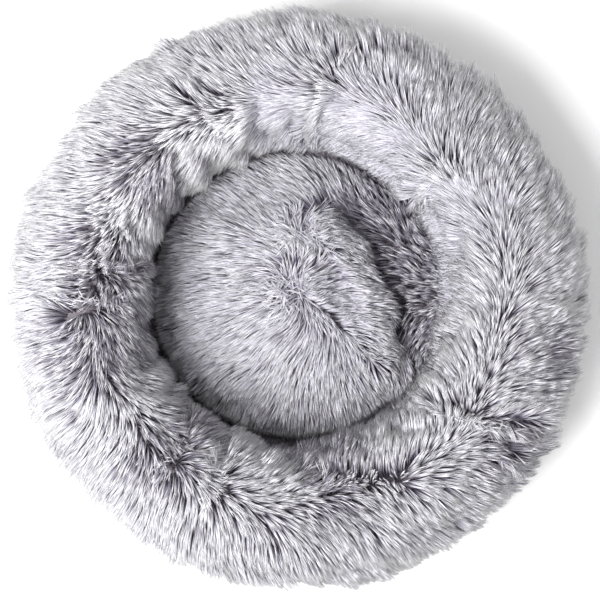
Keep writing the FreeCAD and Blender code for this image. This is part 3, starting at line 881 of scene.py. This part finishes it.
def make_bolster(paints):
    skin = ring_body("bolster_skin", BOLSTER_PILE, gap=1.5 * MM, lumps=3.0 * MM)
    puffed(skin, voxel=6 * MM, pressure=4.0, cap=5 * MM)
    link(skin, paints["backing"], "bolster_cover")
    pile = plant(
        skin, "bolster_pile", BOLSTER_LOCKS, bolster_density, bolster_comb, BOLSTER_SECTORS,
    )
    for piece in pile:
        link(piece, paints["strand"], "bolster_cover")
    coarser = {"steps": 240, "section": 48}
    bag = ring_body("bolster_inner_bag", BOLSTER_PILE + 3 * MM, 2.5 * MM, 2.5 * MM, **coarser)
    link(bag, paints["liner"], "bolster_liner")
    filling = ring_body("bolster_filling", BOLSTER_PILE + 5.5 * MM, 3.5 * MM, 2.0 * MM, **coarser)
    link(filling, paints["fibre"], "bolster_fill")


def make_floor(paints):
    skin = floor_body("well_floor_skin", sunk=0.0, reach=FLANGE_RADIUS, gap=1.5 * MM)
    puffed(skin, voxel=4 * MM, pressure=4.0, cap=4 * MM)
    link(skin, paints["backing"], "well_panel")
    pile = plant(skin, "well_floor_pile", FLOOR_LOCKS, floor_density, floor_comb, FLOOR_SECTORS)
    for piece in pile:
        link(piece, paints["strand"], "well_panel")
    coarser = {"rings": 30, "steps": 120}
    bag = floor_body("floor_inner_bag", 3 * MM, FLANGE_RADIUS - 4 * MM, 2.5 * MM, **coarser)
    link(bag, paints["liner"], "pad_liner")
    filling = floor_body("floor_filling", 5.5 * MM, FLANGE_RADIUS - 7 * MM, 3.5 * MM, **coarser)
    link(filling, paints["fibre"], "pad_fill")


# --- underside ---
def slab(name, low, high):
    """Closed thin cloth between two grids of points, each rows by columns by 3."""
    rows, columns = low.shape[:2]
    count = rows * columns
    faces = [tuple(reversed(f)) for f in grid_faces(rows, columns)]
    faces += [tuple(i + count for i in f) for f in grid_faces(rows, columns)]
    rim = list(range(columns))
    rim += [i * columns + columns - 1 for i in range(1, rows)]
    rim += [(rows - 1) * columns + j for j in range(columns - 2, -1, -1)]
    rim += [i * columns for i in range(rows - 2, 0, -1)]
    for a, b in zip(rim, rim[1:] + rim[:1]):
        faces.append((a, b, b + count, a + count))
    return mesh_piece(name, np.concatenate([low.reshape(-1, 3), high.reshape(-1, 3)]), faces)


def base_height(x, y):
    """Underside of the base cloth: flat, and lifted to the zip along its slot."""
    distance = zip_distance(x, y)
    lift = TAPE_BOTTOM - BASE_THICKNESS - BASE_BOTTOM
    rise = np.clip((GROOVE_REACH - distance) / (GROOVE_REACH - LIP_REACH), 0, 1)
    drape = 0.2 * MM * (1 + ripple(47, 7, 25 * x, 25 * y)) * smoothstep(0.0, 1.0, rise + 0.2)
    pucker = 0.25 * MM * (1 + np.sin(150 * np.arctan2(y, x)))
    pucker = pucker * smoothstep(BASE_RADIUS - 12 * MM, BASE_RADIUS, np.hypot(x, y))
    return BASE_BOTTOM + lift * rise + np.clip(drape, 0, MM) * (rise > 0) * (rise < 1) + pucker


def make_base_panel(name, side, paints):
    rows, columns = 61, 241
    angle = np.linspace(math.pi, 0, columns)
    rim_x, rim_y = BASE_RADIUS * np.cos(angle), BASE_RADIUS * np.sin(angle)
    past_slot = np.maximum(np.abs(rim_x) - GROOVE_HALF_LENGTH, 0)
    slot_y = np.sqrt(np.maximum(SLOT_HALF_WIDTH**2 - past_slot**2, 0))
    slot_y = np.minimum(slot_y, rim_y)
    share = np.linspace(0, 1, rows)[:, None] ** 1.6  # closer rows by the slot
    x = np.broadcast_to(rim_x, (rows, columns))
    y = slot_y + share * (rim_y - slot_y)
    low = np.stack([x, side * y, base_height(x, y)], 2)
    high = low + np.array([0, 0, BASE_THICKNESS])
    if side < 0:
        low, high = low[:, ::-1], high[:, ::-1]
    panel = link(slab(name + "_cloth", low, high), paints["base"], name)


def make_dots(paints):
    """One low dome for each anti-slip dot that the CAD has."""
    cells = np.unique(np.floor(coordinates(NODES["anti_slip_dots"].data)[:, :2] / DOT_PITCH), axis=0)
    points, faces = [], []
    sides = 12
    for x, y in (cells + 0.5) * DOT_PITCH:
        start = len(points)
        for reach, level in DOT_RINGS:
            for k in range(sides):
                turn = TAU * k / sides
                across, along = reach * MM * math.cos(turn), reach * MM * math.sin(turn)
                points.append((x + across, y + along, level * MM))
        faces.append(tuple(start + k for k in range(sides)))
        for ring in range(start, len(points) - sides, sides):
            for k in range(sides):
                a, b = ring + k, ring + (k + 1) % sides
                faces.append((a, a + sides, b + sides, b))
        faces.append(tuple(ring + sides + k for k in reversed(range(sides))))
    link(mesh_piece("grip_dots", points, faces), paints["dots"], "anti_slip_dots")


def make_binding(paints):
    """Folded tape round the base's edge, drawn in a little at each stitch."""
    low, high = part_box("edge_binding")
    width, height = high.x - BASE_RADIUS, high.z - low.z
    steps, section = 900, 24
    theta = np.repeat(np.linspace(0, TAU, steps, endpoint=False), section)
    turn = np.tile(np.linspace(0, TAU, section, endpoint=False), steps)
    square = 0.35  # the lower, the squarer the tape's section
    across = np.sign(np.cos(turn)) * np.abs(np.cos(turn)) ** square
    up = np.sign(np.sin(turn)) * np.abs(np.sin(turn)) ** square
    drawn_in = 1 - 0.05 * (1 + np.sin(162 * theta)) * (0.6 + 0.4 * ripple(53, 5, 7 * theta))
    radius = BASE_RADIUS + width / 2 + across * width / 2 * drawn_in
    level = low.z + height / 2 + up * height / 2 * drawn_in
    points = np.stack([radius * np.cos(theta), radius * np.sin(theta), level], 1)
    ring = mesh_piece("edge_binding_tape", points, grid_faces(steps, section, True, True))
    link(ring, paints["binding"], "edge_binding")


def make_stitches(name, path, directions, radius, paints, replaced):
    """Short capsules of thread along a path; each dips into the cloth above it at both ends."""
    points, faces = [], []
    sides, rings = 6, 7
    for at, way in zip(path, directions):
        start = len(points)
        across = np.cross(UP, way)
        for i in range(rings):
            t = 2 * i / (rings - 1) - 1
            thin = radius * math.sqrt(max(1 - 0.85 * abs(t) ** 6, 0))
            centre = at + way * t * STITCH_LENGTH / 2 + 0.9 * radius * abs(t) ** 4 * UP
            for k in range(sides):
                turn = TAU * k / sides
                points.append(centre + thin * (math.cos(turn) * across + math.sin(turn) * UP))
        for i in range(rings - 1):
            for k in range(sides):
                a, b = start + i * sides + k, start + i * sides + (k + 1) % sides
                faces.append((a, b, b + sides, a + sides))
        faces.append(tuple(start + k for k in reversed(range(sides))))
        faces.append(tuple(start + (rings - 1) * sides + k for k in range(sides)))
    link(mesh_piece(name, points, faces), paints["thread"], replaced)


def stitch_ring(node):
    low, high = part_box(node)
    thread = (high.z - low.z) / 2
    radius = high.x - thread
    angle = np.linspace(0, TAU, round(TAU * radius / STITCH_PITCH), endpoint=False)
    flat = np.zeros_like(angle)
    path = np.stack([radius * np.cos(angle), radius * np.sin(angle), flat + low.z + thread], 1)
    return path, np.stack([-np.sin(angle), np.cos(angle), flat], 1), thread


def make_sewing(paints):
    for seam in ("edge", "well_seam"):
        path, ways, thread = stitch_ring(seam + "_stitching")
        make_stitches(seam + "_stitches", path, ways, thread, paints, seam + "_stitching")
    low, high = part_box("zip_stitching")
    thread = (high.z - low.z) / 2
    along = np.arange(low.x + STITCH_PITCH, high.x - STITCH_PITCH, STITCH_PITCH)
    path = [(x, side * (high.y - thread), low.z + thread) for side in (-1, 1) for x in along]
    ways = np.tile([1.0, 0, 0], (len(path), 1))
    make_stitches("zip_stitches", np.array(path), ways, thread, paints, "zip_stitching")


def make_tape(node, paints):
    low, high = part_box(node)
    along, across = np.meshgrid(np.linspace(low.x, high.x, 240), np.linspace(low.y, high.y, 9))
    wave = 0.08 * MM * (1 + ripple(59, 5, 60 * along, 200 * across))
    under = np.stack([along, across, low.z + np.clip(wave, 0, 0.3 * MM)], 2)
    over = under + np.array([0, 0, high.z - low.z])
    tape = link(slab(node + "_cloth", under, over), paints["tape"], node)


def make_coil(node, paints):
    """One row of the zip's chain: a nylon thread wound in a long flat coil."""
    low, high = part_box(node)
    middle = (low + high) / 2
    turns = (high.x - low.x - 2 * COIL_WIRE) / COIL_PITCH
    steps, sides = int(turns * 10), 5
    turn = np.linspace(0, TAU * turns, steps)
    wide, tall = (high.y - low.y) / 2 - COIL_WIRE, (high.z - low.z) / 2 - COIL_WIRE
    centre = np.stack([
        low.x + COIL_WIRE + COIL_PITCH * turn / TAU,
        middle.y + wide * np.cos(turn),
        middle.z + tall * np.sin(turn),
    ], 1)
    heading = unit(np.gradient(centre, axis=0))
    side = unit(np.cross(heading, [1.0, 0, 0]))
    up = np.cross(side, heading)
    rim = np.linspace(0, TAU, sides, endpoint=False)
    round_it = np.cos(rim)[None, :, None] * side[:, None] + np.sin(rim)[None, :, None] * up[:, None]
    points = (centre[:, None] + COIL_WIRE * round_it).reshape(-1, 3)
    faces = grid_faces(steps, sides, False, True)
    faces += [tuple(range(sides))[::-1], tuple(range((steps - 1) * sides, steps * sides))]
    link(mesh_piece(node + "_winding", points, faces), paints["coil"], node)


def make_label(paints):
    """Blank care label: satin tape folded in half, its ends in the binding's seam."""
    low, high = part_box("care_label")
    start = BASE_RADIUS + 4.6 * MM
    ply, bend = 0.3 * MM, (high.z - low.z) / 2 - 0.15 * MM
    reach = high.y - start - bend
    rows, columns, fold = 41, 17, 0.04  # fold is the share of each ply that is in the bend
    run = np.linspace(-1, 1, rows)
    from_middle = np.abs(run)
    straight = np.clip(1 - from_middle / (1 - fold), 0, 1)
    turn = np.clip(run / fold, -1, 1) * math.pi / 2
    y = start + reach * np.minimum(1 - from_middle, 1 - fold) / (1 - fold)
    y = y + bend * np.cos(turn) * (from_middle < fold)
    sag = 0.5 * MM * np.sin(math.pi * straight) * (1 - straight)
    z = (low.z + high.z) / 2 + bend * np.sin(turn) + sag
    x = np.tile(np.linspace(low.x, high.x, columns), (rows, 1))
    y, z = (np.repeat(values[:, None], columns, 1) for values in (y, z))
    middle = np.stack([x, y, z], 2)
    middle[:, :, 2] += 0.25 * MM * np.sin(middle[:, :, 0] / (6 * MM))
    along = unit(np.gradient(middle, axis=0))
    out = np.cross(np.array([1.0, 0, 0]), along)
    label = slab("care_label_tape", middle - ply / 2 * out, middle + ply / 2 * out)
    link(label, paints["label"], "care_label")


def make_underside(paints):
    make_base_panel("base_panel_front", -1, paints)
    make_base_panel("base_panel_rear", 1, paints)
    make_dots(paints)
    make_binding(paints)
    make_sewing(paints)
    for node in ("zip_tape_front", "zip_tape_rear"):
        make_tape(node, paints)
    for node in ("zip_coil_front", "zip_coil_rear"):
        make_coil(node, paints)
    make_label(paints)
    for node in ("zip_top_stops", "zip_bottom_stop", "zip_slider", "zip_pull_tab"):
        for slot in NODES[node].material_slots:
            slot.material = paints["metal"]


# --- camera, light and floor ---
CAMERA_HEIGHT = 1.65
CAMERA_VIEW = 0.614  # width seen at the bolster's girth
CAMERA_BACK = 0.003
FLOOR_SIZE = 40.0
KEY_PLACE = (-1.15, -0.62, 2.35)
KEY_SIZE = 1.1
KEY_POWER = 101.0
SKY_STRENGTH = 0.80


def make_camera():
    data = bpy.data.cameras.new("camera")
    data.sensor_fit = "HORIZONTAL"
    data.lens = data.sensor_width * (CAMERA_HEIGHT - GIRTH_HEIGHT) / CAMERA_VIEW
    camera = bpy.data.objects.new("camera", data)
    camera.location = (0.0, -CAMERA_BACK, CAMERA_HEIGHT)
    bpy.context.scene.collection.objects.link(camera)
    bpy.context.scene.camera = camera


def make_key_light():
    data = bpy.data.lights.new("key", "AREA")
    data.size = KEY_SIZE
    data.energy = KEY_POWER
    lamp = bpy.data.objects.new("key", data)
    lamp.location = KEY_PLACE
    lamp.rotation_euler = (-Vector(KEY_PLACE)).to_track_quat("-Z", "Y").to_euler()
    bpy.context.scene.collection.objects.link(lamp)


def make_studio():
    make_key_light()
    world = bpy.data.worlds.new("world")
    world.use_nodes = True
    sky = world.node_tree.nodes["Background"]
    sky.inputs["Color"].default_value = (1.0, 1.0, 1.0, 1.0)
    sky.inputs["Strength"].default_value = SKY_STRENGTH
    bpy.context.scene.world = world
    bpy.context.scene.view_settings.view_transform = "Standard"
    half = FLOOR_SIZE / 2
    corners = [(-half, -half, 0), (half, -half, 0), (half, half, 0), (-half, half, 0)]
    floor = mesh_piece("floor", corners, [(0, 1, 2, 3)], smooth=False)
    paint = Paint("studio_floor", Roughness=0.8)
    grain = paint.noise(3.0)
    paint.shades(grain, (0.88, 0.88, 0.88), (0.90, 0.90, 0.90))
    floor.data.materials.append(paint.material)


def make_paints():
    plain = make_plain_paint
    return {
        "strand": make_strand_paint(),
        "backing": make_backing_paint(),
        "liner": plain(
            "liner_cloth", (500.0, 6.0), (0.78, 0.78, 0.76), (0.92, 0.92, 0.90), 0.15, Roughness=0.85,
        ),
        "fibre": plain(
            "fibre_filling", (220.0, 8.0), (0.80, 0.80, 0.79), (0.96, 0.96, 0.95), 1.5, low=0.25,
            Roughness=1.0,
        ),
        "base": make_base_paint(),
        "dots": plain(
            "grip_rubber", (1400.0, 3.0), (0.035, 0.035, 0.038), (0.06, 0.06, 0.064), 0.05, (0.5, 0.75),
            Roughness=0.6,
        ),
        "binding": plain(
            "binding_cloth", (900.0, 2.0, (1.0, 1.0, 3.0)), (0.17, 0.17, 0.18), (0.27, 0.27, 0.285), 0.2,
            Roughness=0.8,
        ),
        "thread": plain(
            "sewing_thread", (3000.0,), (0.32, 0.32, 0.33), (0.52, 0.52, 0.54), 0.05, Roughness=0.6,
        ),
        "tape": make_tape_paint(),
        "coil": plain(
            "zip_nylon", (300.0, 3.0), (0.22, 0.22, 0.235), (0.31, 0.31, 0.33), wear=(0.25, 0.45),
            Roughness=0.35,
        ),
        "metal": plain(
            "zip_metal", (1500.0, 3.0, (0.08, 1.0, 1.0)), (0.50, 0.50, 0.51), (0.66, 0.66, 0.67), 0.02,
            (0.25, 0.45), Metallic=1.0, Roughness=0.35,
        ),
        "label": make_label_paint(),
    }


make_camera()
make_studio()
PAINTS = make_paints()
make_bolster(PAINTS)
make_floor(PAINTS)
make_underside(PAINTS)
